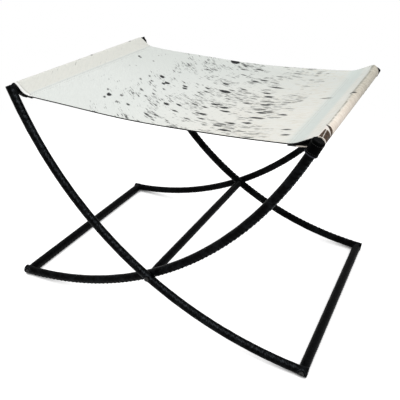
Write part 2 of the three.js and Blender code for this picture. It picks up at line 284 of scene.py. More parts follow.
def make_hide(name):
    """Hair-on cowhide. straight holds the place along and across the sheet and its side: 1 hair, -1 flesh."""
    s = Shade(name, Specular_IOR_Level=0.09, Sheen_Weight=0.03, Sheen_Roughness=0.5)
    along, across, side = s.split(s.place())
    flow = along - FLOW_X
    lane = across - flow * flow * (FLOW_BEND / 2)
    hair = s.noise((along * 0.12, lane, 0.0), 1.7, 3.0, 0.6)
    strands = s.noise((along * 0.14, lane, 5.0), 0.55, 2.0, 0.55)
    locks = s.noise((along * 0.35, lane, 3.0), 0.22)
    cloud = s.noise((along, across, 0.0), 0.008)

    # White coat: cooler on the left, creamier to the right, cooler and darker towards the back as painted
    # shade, and a bluish painted shadow of the right sleeve along the right hem
    warm = s.ramp(locks, 0.45, 0.66, 0.0, 0.45) * s.ramp(along, 40.0, 200.0)
    past_hem = along - U_HEM[1]
    # Painted shadow of the right sleeve: a bluish band along the right hem
    painted_hem_shadow = s.ramp(past_hem, -20.0, -3.0) * s.ramp(past_hem, 25.0, 12.0)
    coat = s.cover(s.mix(s.ramp(along, -120.0, 190.0), (0.80, 0.83, 0.80), (0.84, 0.83, 0.775)),
                   # Painted shade: the coat darker towards the back
                   (s.ramp(across, -90.0, 215.0, 0.0, 0.75), (0.72, 0.755, 0.72)),
                   (s.ramp(cloud, 0.35, 0.7) * 0.25, (0.74, 0.77, 0.74)),
                   (s.ramp(along, U_HEM[-1], U_HEM[-1] - 3.0), (0.79, 0.79, 0.735)),
                   (s.ramp(locks, 0.62, 0.4, 0.0, 0.12), (0.60, 0.625, 0.60)),
                   (s.ramp(hair, 0.62, 0.3, 0.0, 0.14), (0.50, 0.51, 0.47)),
                   (warm, (0.66, 0.625, 0.53)),
                   (painted_hem_shadow * 0.8, (0.655, 0.715, 0.685)))

    # Flecks with hairy ends: small pale ones, and darker strokes in bundles
    speckled = s.ramp(along, -190.0, -100.0) * s.ramp(along, 240.0, 170.0)
    bundle = s.noise((along * 0.6, lane, 11.0), 0.03, 2.0)
    uneven_ends = (strands - 0.5) * 1.05 + (hair - 0.5) * 0.4
    grows = s.ramp(bundle, 0.4, 0.6) * 0.42 - 0.27 - s.ramp(speckled, 1.0, 0.0, 0.0, 0.45) + uneven_ends
    for long, wide, shift, share, low, high in STROKES:
        mask, tone = s.strokes(along * (1 / long) + shift, lane * (1 / wide), share, grows)
        ink = s.mix(tone, (0.16, 0.165, 0.16), (0.012, 0.013, 0.014))
        coat = s.mix(mask * s.ramp(tone, 0.1, 0.9, low, high), coat, ink)

    # Painted shade along the left hem's crease, and beside it along the pressed front edge a painted
    # highlight with a painted shade line inside it
    inset = s.attribute("inset")
    painted_edge_zone = s.ramp(along, U_TOP[-1] - 6.0, U_TOP[-1]) * s.ramp(along, U_HEM[-1] + 40.0, U_HEM[-1])
    coat = s.cover(coat,
                   (s.ramp(abs(along - (U_HEM[-1] + 1.0)), 2.2, 0.4, 0.0, 0.3), (0.45, 0.46, 0.44)),
                   (s.ramp(inset, 5.5, 3.5) * painted_edge_zone, (0.93, 0.93, 0.91)),
                   (s.ramp(abs(inset - 6.6), 1.5, 0.3, 0.0, 0.35) * painted_edge_zone, (0.42, 0.43, 0.42)))

    # Right sleeve: an olive painted shade line along its top with grizzled hairs beside it, and beige
    # outboard of it, darker towards the back and with painted shade where it turns down round the rail
    round_rail = along - U_TOP[1]
    uneven = s.noise((along * 0.3, across, 1.0), 0.09)
    past = round_rail - (s.ramp(across, -60.0, 70.0, -1.2, -3.2) + s.ramp(uneven, 0.3, 0.7, -0.5, 0.5))
    hatch = s.noise((along * 0.2, across, 2.0), 0.32, 3.0, 0.6)
    front_beige = s.mix(s.ramp(hatch, 0.38, 0.6), (0.85, 0.75, 0.645), (0.96, 0.87, 0.765))
    back_beige = s.mix(s.ramp(hatch, 0.4, 0.62), (0.54, 0.505, 0.42), (0.71, 0.67, 0.575))
    beige = s.mix(s.ramp(across, -120.0, 120.0), front_beige, back_beige)
    # Painted shade: darker brown where the sleeve turns down round the rail
    beige = s.mix(s.ramp(round_rail, 12.5, 17.0, 0.0, 0.55), beige, (0.30, 0.25, 0.20))
    off = abs(past)
    grizzled = s.ramp(hair, 0.42, 0.66) * s.ramp(off, 11.0, 1.0) * s.ramp(across, -140.0, 90.0, 0.12, 0.5)
    off_line = off / s.ramp(across, -120.0, 110.0, 1.3, 2.4)
    olive_shade_line = s.ramp(off_line, 1.7, 0.0) * s.ramp(uneven, 0.36, 0.58, 0.2, 0.75)

    # The strong marks, and at the right sleeve's front the pale trim, the furry patch and the arc behind it
    mark = s.ramp(s.attribute("fleck") + ((hair - 0.5) * 4.0 + (strands - 0.5) * 6.5), -0.8, 2.0)
    tone = s.attribute("fleck_tone")
    mark_ink = s.mix(s.ramp(tone, 0.2, 0.85), (0.19, 0.195, 0.19), (0.008, 0.009, 0.010))
    fur = s.noise((along * 0.5, across, 4.0), 0.9, 3.0, 0.65)
    brown = s.mix(s.ramp(fur, 0.35, 0.65), (0.008, 0.004, 0.002), (0.105, 0.06, 0.032))
    arc_ink = s.mix(s.ramp(round_rail, 1.0, 7.0), (0.010, 0.007, 0.005), (0.075, 0.048, 0.03))
    coat = s.cover(coat,
                   (s.ramp(past, -1.5, 5.0), beige),
                   (grizzled, (0.40, 0.385, 0.31)),
                   (olive_shade_line, (0.24, 0.225, 0.165)),
                   (mark * s.ramp(tone, 0.0, 0.6, 0.5, 1.0), mark_ink),
                   (s.ramp(s.attribute("trim"), -0.3, 0.5), (0.83, 0.785, 0.73)),
                   (s.ramp(s.attribute("patch"), -0.35, 0.45), brown),
                   (s.ramp(s.attribute("arc"), -0.4, 0.6), arc_ink))

    # Flesh side and cut edges: dark, but pale round the right rail as far as the hem beneath
    flesh = s.mix(s.noise((along, across, 7.0), 0.9), (0.006, 0.006, 0.006), (0.03, 0.027, 0.024))
    pale_cut = s.ramp(along, U_TOP[1] - 3.0, U_TOP[1] - 1.0) * s.ramp(along, U_FLAP[1] + 1.0, U_FLAP[1] - 1.0)
    colour = s.cover((0.010, 0.010, 0.011),
                     (pale_cut, (0.72, 0.66, 0.58)),
                     (s.ramp(along, U_FLAP[1] - 1.0, U_FLAP[1] + 1.0), (0.07, 0.075, 0.075)),
                     (s.ramp(side, 0.25, 0.6), coat),
                     (s.ramp(side, -0.25, -0.6), flesh))
    rough = s.ramp(hair, 0.3, 0.7, 0.62, 0.5) + s.ramp(locks, 0.3, 0.7, 0.0, 0.12)
    return s.set(Base_Color=colour, Roughness=rough, Normal=s.bump(hair, 0.22, s.bump(locks, 0.7)))


# Mesh helpers. Every piece is worked out in millimetres and laid out straight before it is bent into place.
def new_object(name, data):
    made = bpy.data.objects.new(name, data)
    scene.collection.objects.link(made)
    return made


def turns(count):
    """Angles evenly round a circle."""
    return np.linspace(0, FULL_TURN, count, endpoint=False)


def eased(share):
    """A share from 0 to 1 with a soft start and end."""
    return share * share * (3 - 2 * share)


class Piece:
    """Collects vertices, faces and per-vertex values, and makes one Blender object of them."""

    def __init__(self):
        self.points, self.places, self.faces, self.extra = [], [], [], {}
        self.count = 0

    def add(self, points, places, faces):
        self.points.append(points.reshape(-1, 3))
        self.places.append(places.reshape(-1, 3))
        self.faces.extend(tuple(int(i) + self.count for i in face) for face in faces)
        self.count += len(self.points[-1])

    def build(self, name, body, slot, material, replaced=()):
        mesh = bpy.data.meshes.new(name)
        mesh.from_pydata((np.concatenate(self.points) * MM).tolist(), [], self.faces)
        places = mesh.attributes.new("straight", "FLOAT_VECTOR", "POINT")
        places.data.foreach_set("vector", np.concatenate(self.places).astype(np.float32).ravel())
        for key, values in self.extra.items():
            mesh.attributes.new(key, "FLOAT", "POINT").data.foreach_set("value", values.astype(np.float32))
        outward = bmesh.new()
        outward.from_mesh(mesh)
        bmesh.ops.recalc_face_normals(outward, faces=outward.faces)
        outward.to_mesh(mesh)
        outward.free()
        mesh.polygons.foreach_set("use_smooth", [True] * len(mesh.polygons))
        mesh.materials.append(material)
        made = new_object(name, mesh)
        if body:
            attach(made, body)
        if replaced:
            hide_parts(*replaced)
        return made


def loft_faces(rings, sides, closed=True):
    """Quads between rings of vertices, and fans to a last pair of points that close the two ends."""
    faces = []
    for i in range(rings - 1):
        for j in range(sides):
            a, b = i * sides + j, i * sides + (j + 1) % sides
            faces.append((a, b, b + sides, a + sides))
    if closed:
        first, last = rings * sides, rings * sides + 1
        for j in range(sides):
            k = (j + 1) % sides
            faces.append((first, k, j))
            faces.append((last, (rings - 1) * sides + j, (rings - 1) * sides + k))
    return faces


def add_tube(piece, bend, place, grids, poles=None):
    """A closed tube. bend maps its grids, by ring and side, to space, and place lays them out straight. poles
    are their values at the two ends, or else the means of the end rings."""
    poles = poles or [(grid[0].mean(), grid[-1].mean()) for grid in grids]
    flat = [np.append(grid.ravel(), pole) for grid, pole in zip(grids, poles)]
    piece.add(bend(*flat), np.stack(place(*flat), 1), loft_faces(*grids[0].shape))
    return flat


def add_cover(piece, bend, along, angle, radius, first, last):
    """Leather round a bar, closed at first and last."""
    add_tube(piece, bend, lambda a, turn, r: (a, r * np.cos(turn), r * np.sin(turn)),
             (along, angle, radius), ((first, last), (0, 0), (0, 0)))


def leg_bend(frame_name, end):
    """Maps (along from the leg's top, angle, radius) to space. Angle 0 faces out in y, a quarter turn faces
    the bow's outside."""
    side, leg_y = SIDE[frame_name], LEG_Y[frame_name, end]

    def bend(along, angle, radius):
        a = TOP_ANGLE + along / BOW_RADIUS
        reach = BOW_RADIUS + radius * np.sin(angle)
        x = side * (BOW_X + reach * np.cos(a))
        y = end * (leg_y + radius * np.cos(angle))
        return np.stack([x, y, BOW_Z + reach * np.sin(a)], 1)

    return bend


def bar_bend(x, z, floor=None):
    """Maps (along y, angle, radius) to space for a bar that lies across the stool. Angle 0 faces +x."""

    def bend(along, angle, radius):
        height = z + radius * np.sin(angle)
        if floor is not None:
            height = np.maximum(height, floor)
        return np.stack([x + radius * np.cos(angle), along, height], 1)

    return bend


def wobble(along, angle, seed, size):
    """Small slow unevenness, as hand-sewn leather has. The same for the same seed."""
    waves = np.random.default_rng(seed)
    total = np.zeros(np.broadcast(along, angle).shape)
    for _ in range(9):
        length, lobes = waves.uniform(14, 70), waves.integers(0, 3)
        phase_a, phase_b = waves.uniform(0, FULL_TURN, 2)
        total += np.sin(FULL_TURN * along / length + phase_a) * np.cos(lobes * angle + phase_b)
    return total * size / 3


PITCH = 10.5  # from one lace stitch to the next
LACE_SPAN = 3.2  # how far a stitch reaches to each side of the seam
LACE_SLANT = 6.6  # how far a stitch runs along the bar as it crosses the seam
LACE_HALF_WIDTH, LACE_HALF_THICKNESS = 1.95, 0.78
LACE_SUNK, LACE_RISE = 0.95, 1.62  # how deep a stitch's ends lie, and its middle's height over them
SEAM_RIDGE, SEAM_DIMPLE, SEAM_PULL = 0.75, 0.75, 0.26  # heights and depths of the leather along the seam
SEAM_FADE = 6.0  # how far from its ends the seam's relief starts
TOE_REACH = 9.8  # how far a leg's leather runs past the foot bar's middle
TOE_SWELL, TOE_SWELL_FROM, TOE_SWELL_RUN = 0.9, 11.0, 9.0  # how much thicker it is there, gathered, and where
SEAM_FROM_CAP, SEAM_FROM_HEAD, SEAM_TO_FOOT = 0.5, 5.0, 4.0  # where a leg's seam starts and stops
LACE_FROM, LACE_TO = 3.5, 4.0  # from the ends of a leg's seam to the first stitch and the last
BAR_SEAM_INSET, BAR_LACE_INSET = 12.0, 14.0  # from the ends of a bar to its seam and to its stitches
BAND_HEIGHT, BAND_PITCH = 0.09, 4.2  # of the fine rings that tight leather has round a bar
HEAD_EDGE, TOE_EDGE = 2.6, 2.2  # how far the edges of a leg's two ends are rounded
UNDER_CAP = 2.0  # how far below the leg's top its leather starts inside a cap
STEP, FINE_STEP = 1.5, 0.75  # between rings of a leg's leather, in general and near a screw
SCREW_HOLE, SCREW_LIP = 5.5, 1.6  # radius of the pressed hole round a screw's head, and the width of its lip
LACE_CLEAR = {True: 9.0, False: 11.0}  # how far from the crossing an outer and an inner leg's lace stops


def seam_relief(along, angle, seam, radius, first, last):
    """Height that the sewn seam gives a bar's leather between first and last."""
    offset = ((angle - seam + math.pi) % FULL_TURN - math.pi) * radius
    inside = np.clip((along - first) / SEAM_FADE, 0, 1) * np.clip((last - along) / SEAM_FADE, 0, 1)
    away = np.abs(offset)
    ridge = SEAM_RIDGE * np.exp(-(away / 2.3) ** 2)
    lag = np.where(offset > 0, 0.5, -0.5) * LACE_SLANT
    turn = FULL_TURN * (along - lag) / PITCH
    hole = (0.5 + 0.5 * np.cos(turn)) ** 3
    dimple = SEAM_DIMPLE * hole * np.exp(-((away - LACE_SPAN) / 1.7) ** 2)
    pull = SEAM_PULL * np.cos(turn) * np.exp(-((away - 5) / 4.2) ** 2)
    return inside * (ridge - dimple - pull)


def seam_angles(seam, radius, fine=26, coarse=28, reach=6.5):
    """Angles round a bar, close together near the seam."""
    near = np.linspace(-reach, reach, fine) / radius
    far = np.linspace(reach / radius, FULL_TURN - reach / radius, coarse + 2)[1:-1]
    return seam + np.concatenate([near, far])


def rounded_end(radius, edge, steps=6):
    """Setbacks from an end and the radii there, for a blunt end with a rounded edge."""
    turn = np.linspace(0, math.pi / 2, steps)
    return edge * (1 - np.sin(turn)), radius - edge + edge * np.sin(turn)


def make_lacing(name, body, bend, seam, radius, first, last, skip=None, clear=0.0):
    """Slanted flat stitches over a seam, each a rounded strip that dives into its two holes, and none within
    clear of skip."""
    piece = Piece()
    path = np.linspace(-1, 1, 11)
    ring = turns(10)
    slant, across = np.array([LACE_SLANT, 2 * LACE_SPAN]) / math.hypot(LACE_SLANT, 2 * LACE_SPAN)
    half_thick = LACE_HALF_THICKNESS * (1 - 0.2 * path ** 4)
    raised = []

    def to_space(along, offset, lift):
        return bend(along, seam + offset / radius, radius + lift)

    for index in range(math.ceil(first / PITCH), math.floor(last / PITCH) + 1):
        middle = index * PITCH
        if skip is not None and abs(middle - skip) < clear:
            continue
        vary = 1 + 0.06 * math.sin(index * 2.3)
        lean = 0.35 * math.sin(index * 1.7)
        half_width = LACE_HALF_WIDTH * vary * (1 - 0.28 * np.abs(path) ** 3)
        height = LACE_RISE * vary * (1 - np.abs(path) ** 2.6) - LACE_SUNK
        wide = half_width[:, None] * np.cos(ring) * (0.82 + 0.18 * np.abs(np.cos(ring)))
        along = (middle + 0.5 * LACE_SLANT * path * (1 + 0.05 * lean))[:, None] - wide * across
        offset = (LACE_SPAN * path)[:, None] + wide * slant * (1 + 0.1 * lean)
        lift = height[:, None] + half_thick[:, None] * np.sin(ring)
        flat = add_tube(piece, to_space, lambda a, o, h: (o * 1.3 + index * 17.0, a, h),
                        (along, offset, lift))
        # raised: the lace's height, which the leather's shader paints with a highlight
        raised.append(flat[2] - 0.5)
    piece.extra["raised"] = np.concatenate(raised)
    piece.build(f"{name}_lacing", body, "wrap_leather", lace_leather)


def around_screw(points, end, seat_y, x, z):
    """Presses the leather in round a screw's head, so that the head sits in a round hole with a soft lip.
    Returns how much of the lip each point is, which the leather's shader paints with a highlight."""
    gap = np.hypot(points[:, 0] - x, points[:, 2] - z)
    out = points[:, 1] * end
    floor = seat_y - 0.15
    limit = floor + (np.maximum(out, floor) - floor) * eased(np.clip((gap - SCREW_HOLE) / SCREW_LIP, 0, 1))
    rim = np.exp(-((gap - SCREW_HOLE - SCREW_LIP - 0.7) / 0.75) ** 2) * (out > seat_y - 3)
    points[:, 1] = end * (np.where(gap < SCREW_HOLE + SCREW_LIP, np.minimum(out, limit), out) + 0.5 * rim)
    return rim


def leg_stations():
    """Places along a leg, close together at the screws."""
    spots, at = [], HEAD_EDGE
    while at < LEG_LENGTH - 0.4:
        spots.append(at)
        near = min(abs(at - PIVOT_S), abs(at - LEG_LENGTH))
        at += FINE_STEP if near < 9 else STEP
    return np.array(spots + [LEG_LENGTH])


def make_leg(frame_name, end, seam, seed):
    """The sewn leather of one leg and the lace over its seam."""
    bend = leg_bend(frame_name, end)
    leg_y = LEG_Y[frame_name, end]
    capped, outermost = frame_name == "aft", leg_y == OUTER_LEG_Y
    setback, end_radius = rounded_end(COVER_RADIUS, HEAD_EDGE)
    toe_setback, toe_radius = rounded_end(COVER_RADIUS + TOE_SWELL, TOE_EDGE, 7)
    toe = LEG_LENGTH + TOE_REACH
    head = UNDER_CAP if capped else 0.0
    stations = leg_stations()
    stations = np.concatenate([head + setback[:-1], stations[stations > head + HEAD_EDGE],
                               np.arange(1, 10) * FINE_STEP + LEG_LENGTH, toe - toe_setback[::-1]])
    swollen = np.clip((stations - LEG_LENGTH + TOE_SWELL_FROM) / TOE_SWELL_RUN, 0, 1)
    base = COVER_RADIUS + TOE_SWELL * eased(swollen)
    base[:len(setback) - 1] = end_radius[:-1]
    base[-len(toe_radius):] = toe_radius[::-1]
    along, angle = np.meshgrid(stations, seam_angles(seam, COVER_RADIUS), indexing="ij")
    first = CAP_SIZE[end][1] + SEAM_FROM_CAP if capped else SEAM_FROM_HEAD
    last = LEG_LENGTH - SEAM_TO_FOOT
    relief = seam_relief(along, angle, seam, COVER_RADIUS, first, last)
    share = np.clip(base / COVER_RADIUS * 1.4 - 0.4, 0, 1)[:, None]
    radius = base[:, None] + share * (relief + wobble(along, angle, seed, 0.12))

    piece = Piece()
    add_cover(piece, bend, along, angle, radius, head - 0.35, toe + 0.15)
    points = piece.points[0]
    points[:, 2] = np.maximum(points[:, 2], 0.0)
    lip_highlight = around_screw(points, end, leg_y + SCREW_SEAT, SIDE[frame_name] * FOOT_X, FOOT_Z)
    if outermost:
        lip_highlight += around_screw(points, end, leg_y + SCREW_SEAT, 0.0, PIVOT_Z)
    # raised: the seam's relief and the screw lips, where the leather's shader paints a highlight
    piece.extra["raised"] = np.maximum(np.append((share * relief).ravel(), (0.0, 0.0)), lip_highlight)
    body, end_name = f"{frame_name}_frame", END_NAME[end]
    name = f"{frame_name}_leg_{end_name}"
    piece.build(f"{name}_cover", body, "wrap_leather", leg_leather, [f"{frame_name}_leg_wrap_{end_name}"])
    make_lacing(name, body, bend, seam, COVER_RADIUS, first + LACE_FROM, last - LACE_TO, PIVOT_S,
                LACE_CLEAR[outermost])


def make_bar_cover(name, body, x, z, radius, y_from, y_to, seam, floor, seed, replaced, taper):
    """The sewn leather of a bar that lies across the stool, drawn in towards its two ends, and its lace."""
    bend = bar_bend(x, z, floor)
    stations = np.linspace(y_from, y_to, int((y_to - y_from) / STEP) + 1)
    along, angle = np.meshgrid(stations, seam_angles(seam, radius, fine=20, coarse=26), indexing="ij")
    tight = eased(np.clip(np.minimum(y_to - along, along - y_from) / BAR_SEAM_INSET, 0, 1))
    relief = seam_relief(along, angle, seam, radius, y_from + BAR_SEAM_INSET, y_to - BAR_SEAM_INSET)
    uneven = 1.3 * np.sin(along / 17) + 0.7 * np.cos(angle)
    bands = BAND_HEIGHT * np.sin(FULL_TURN * along / BAND_PITCH + uneven)
    radii = radius - taper * (1 - tight) + relief + bands + wobble(along, angle, seed, 0.08)
    piece = Piece()
    add_cover(piece, bend, along, angle, radii, y_from, y_to)
    # raised: the seam's relief, where the leather's shader paints a highlight
    piece.extra["raised"] = np.append(relief.ravel(), (0.0, 0.0))
    piece.build(f"{name}_cover", body, "wrap_leather", bar_leather, [replaced])
    make_lacing(name, body, bend, seam, radius, y_from + BAR_LACE_INSET, y_to - BAR_LACE_INSET)


def thread_stitch(count, thickness, least):
    """Steps along a stitch from -1 to 1, angles round it, and its half thickness at each step."""
    t = np.linspace(-1, 1, count)[:, None]
    return t, turns(6), thickness * np.sqrt(np.clip(1 - t ** 4, least, 1))


CAP_LIP = 1.8  # half the width of a cap's rolled rim
CAP_TOP = -0.6  # along the leg, from its top
CAP_STITCHES, CAP_STITCH_SHARE = 22, 0.36  # how many in a row, and half a stitch's share of its step
CAP_ROWS = (5.0, 5.2)  # from the cap's top and from its lower end to its two rows of stitches


def make_cap(end, seed):
    """Thick leather cap over the top of an aft leg, with a flat sewn top and a rolled lower rim."""
    bend = leg_bend("aft", end)
    top = CAP_TOP
    radius, length = CAP_SIZE[end]
    wall = radius - 0.1
    body_from, body_to = top + 8.0, length - 4.6
    profile = [(top, 7.6)]
    profile += [(top + down, wall + out) for down, out in (
        (0.05, -1.9), (0.35, -1.1), (1.0, -0.45), (1.9, -0.05), (3.0, 0.1), (4.2, -0.05), (5.0, -0.25),
        (6.0, -0.1))]
    profile += [(at, wall) for at in np.linspace(body_from, body_to, 22)]
    profile += [(length - 3.9, wall - 0.35), (length - 3.6, wall - 0.3)]
    profile += [(length - RIM_BACK - CAP_LIP * math.cos(turn), wall - 0.45 + math.sin(turn))
                for turn in np.linspace(0, math.pi, 9)]
    profile += [(length + 0.3, wall - 1.2), (length + 0.1, wall - 1.9), (length - 0.4, 8.6)]
    stations, base = np.array(profile).T
    along, angle = np.meshgrid(stations, turns(64), indexing="ij")
    body = np.clip((along - body_from + 3) / 5, 0, 1) * np.clip((body_to + 2 - along) / 5, 0, 1)
    pleats = -0.2 * body * np.abs(np.sin(2.5 * angle + 0.03 * along)) ** 3
    radii = base[:, None] + pleats + wobble(along, angle, seed, 0.10) * np.clip(base[:, None] - 8, 0, 1)
    piece = Piece()
    add_cover(piece, bend, along, angle, radii, top + 0.3, length - 0.6)
    name = f"aft_cap_{END_NAME[end]}"
    piece.build(name, "aft_frame", "wrap_leather", cap_leather, [f"aft_leg_cap_{END_NAME[end]}"])

    stitches = Piece()
    t, ring, thick = thread_stitch(7, 0.34, 0.02)
    half = CAP_STITCH_SHARE * FULL_TURN / CAP_STITCHES
    sunk = wall - 0.12 - 0.25 * t ** 4
    for row in (top + CAP_ROWS[0], length - CAP_ROWS[1]):
        for i in range(CAP_STITCHES):
            turned = FULL_TURN * i / CAP_STITCHES + half * t + 0 * ring
            add_tube(stitches, bend, lambda a, turn, r: (turn * wall, a, r),
                     (row + thick * np.cos(ring), turned, sunk + thick * np.sin(ring)))
    stitches.build(f"{name}_stitches", "aft_frame", "wrap_leather", black_thread)


def lathe(piece, profile, x, z, end, hexagon=0):
    """Turns (radius, height in y) points about an axis along y. The first few rings are six-sided."""
    turn = turns(48)
    radius, height = (column[:, None] + 0 * turn for column in np.array(profile).T)
    radius[:hexagon] *= math.cos(math.pi / 6) / np.cos(turn % (math.pi / 3) - math.pi / 6)
    y = end * height
    add_tube(piece, bar_bend(x, z), lambda a, around, r: (r * np.cos(around), r * np.sin(around), a),
             (y, turn + 0 * radius, radius), ((y[0, 0], y[-1, 0]), (0, 0), (0, 0)))


def make_screw(kind, frame_name, end, x, z, outer_y, inner_y):
    """Socketed screw with a domed ring of a head, and its plain shank."""
    seat, tip = outer_y + SCREW_SEAT, inner_y - SCREW_REACH
    top = seat + SCREW_HEAD
    profile = [(radius, top + rise) for radius, rise in (
        (0.6, -1.75), (2.0, -1.7), (2.3, -1.55), (2.35, -0.5), (2.5, -0.2), (2.85, -0.02), (3.3, 0.1),
        (3.9, 0.08), (4.4, -0.08), (4.85, -0.4), (5.1, -0.85), (SCREW_RADIUS, -1.3))]
    profile += [(SCREW_RADIUS, seat), (5.0, seat - 0.12), (2.9, seat - 0.12), (2.7, seat - 0.5),
                (2.7, tip + 0.8), (2.2, tip + 0.1), (0.8, tip)]
    piece = Piece()
    lathe(piece, profile, x, z, end, hexagon=4)
    piece.build(f"{kind}_bolt_{END_NAME[end]}", f"{frame_name}_frame", "screws", screw_metal,
                [f"{kind}_screw_{END_NAME[end]}"])


def make_washer(end):
    """Leather washer between the two frames."""
    mid, half, outer, inner = (OUTER_LEG_Y + INNER_LEG_Y) / 2, 1.0, 7.4, 3.1
    corner = [(inner, half - 0.3), (inner + 0.3, half), (outer - 0.6, half), (outer - 0.1, half - 0.45)]
    profile = [(radius, mid - height) for radius, height in corner] + [(outer, mid)]
    profile += [(radius, mid + height) for radius, height in corner[::-1]]
    piece = Piece()
    lathe(piece, profile, 0.0, PIVOT_Z, end)
    piece.build(f"pivot_spacer_{END_NAME[end]}", "fore_frame", "washers", bar_leather,
                [f"pivot_washer_{END_NAME[end]}"])


# The sling's line, from the hem under the left of the seat, round both rails, to the hem under the right
SEAT_MID_X = (HEM_X[1] - HEM_X[-1]) / 2
SEAT_HALF = (HEM_X[1] + HEM_X[-1]) / 2
EASE = 9.0  # how far inboard of the hem the seat starts to bend
UNDER_GAP = 0.1  # between the seat and the hem beneath it
BEND_RUN, UNDER_BEND_RUN = 11.0, 5.0  # how far the bends at the hem reach up the sleeve, over and under


def seat_mid(x):
    """Height of the middle of the hide's thickness over the seat."""
    off = (x - SEAT_MID_X) / SEAT_HALF
    return SEAT_RAIL_Z - HEM_DROP - (SEAT_SAG - HEM_DROP) * (1 - off ** 2)


def sleeve_line(side):
    """From the seat outwards, round one rail and back to the hem beneath, as if on the right."""
    hem = HEM_X[side]
    rail = np.array([SEAT_RAIL_X, SEAT_RAIL_Z])
    upper = np.array([hem, seat_mid(side * hem)])
    lower = upper - (0, HIDE_THICKNESS + UNDER_GAP)
    touches = []
    for point, turn in ((upper, -1), (lower, 1)):
        reach = point - rail
        angle = math.atan2(reach[1], reach[0]) + turn * math.acos(SLEEVE_RADIUS / np.hypot(*reach))
        touches.append((angle, rail + SLEEVE_RADIUS * np.array([math.cos(angle), math.sin(angle)])))
    (start, touch), (stop, leave) = touches
    first = np.array([hem - EASE, seat_mid(side * (hem - EASE))])
    rise, back = touch - upper, lower - leave
    bend_end = min(BEND_RUN / np.hypot(*rise), 0.4)
    under_run = UNDER_BEND_RUN / np.hypot(*back)
    seam_x = hem - HEM_SEAM
    last, end = (np.array([x, seat_mid(side * x) - HIDE_THICKNESS - UNDER_GAP]) for x in (seam_x + 3, seam_x))

    def bow(a, b, c, count):
        """A bend from a to c that leans towards b."""
        return [(1 - t) ** 2 * a + 2 * t * (1 - t) * b + t * t * c for t in np.linspace(0, 1, count)[1:]]

    points = bow(first, upper, upper + rise * bend_end, 12)
    marks = {"hem": len(points) // 2}
    points += [upper + rise * t for t in np.linspace(bend_end, 1, 20)[1:]]
    for a in start - (start - stop) % FULL_TURN * np.linspace(0, 1, 40)[1:]:
        points.append(rail + SLEEVE_RADIUS * np.array([math.cos(a), math.sin(a)]))
    points += [leave + back * t for t in np.linspace(0, 1 - under_run, 16)[1:]]
    marks["flap"] = len(points) - 1
    points += bow(lower - back * under_run, lower, last, 7) + [(last + end) / 2, end]
    points = np.array(points)
    marks["top"] = int(np.argmax(points[:, 1]))
    return points * (side, 1), marks


left_line, left_marks = sleeve_line(-1)
right_line, right_marks = sleeve_line(1)
seat_x = np.linspace(-(HEM_X[-1] - EASE), HEM_X[1] - EASE, 330)
sling_line = np.concatenate([left_line[::-1], np.stack([seat_x, seat_mid(seat_x)], 1), right_line])
over = slice(len(left_line), len(left_line) + len(seat_x))
steps = np.hypot(*np.diff(sling_line, axis=0).T)
sling_u = np.concatenate([[0], np.cumsum(steps)])
sling_u -= np.interp(0, seat_x, sling_u[over])
tangent = np.gradient(sling_line, sling_u, axis=0)
tangent /= np.hypot(*tangent.T)[:, None]
sling_normal = np.stack([-tangent[:, 1], tangent[:, 0]], 1)

# Places along the sling, left and right: the hem's bend, the rail's top and the start of the hem beneath
U_HEM, U_TOP, U_FLAP = ({-1: float(sling_u[len(left_line) - 1 - left_marks[key]]),
                         1: float(sling_u[over.stop + right_marks[key]])} for key in ("hem", "top", "flap"))


def sling_edge(x, end):
    """Where the sling's front or back edge runs: beside the fore leg on the left, the cap on the right."""
    left = LEG_Y["fore", end] - COVER_RADIUS - HIDE_GAP
    right = LEG_Y["aft", end] - CAP_RADIUS - HIDE_GAP
    return end * np.interp(x, (-SEAT_RAIL_X, SEAT_RAIL_X), (left, right))


# Hair lies along lines whose direction turns steadily from left to right
FLOW_X = 116.0
FLOW_BEND = 0.0043

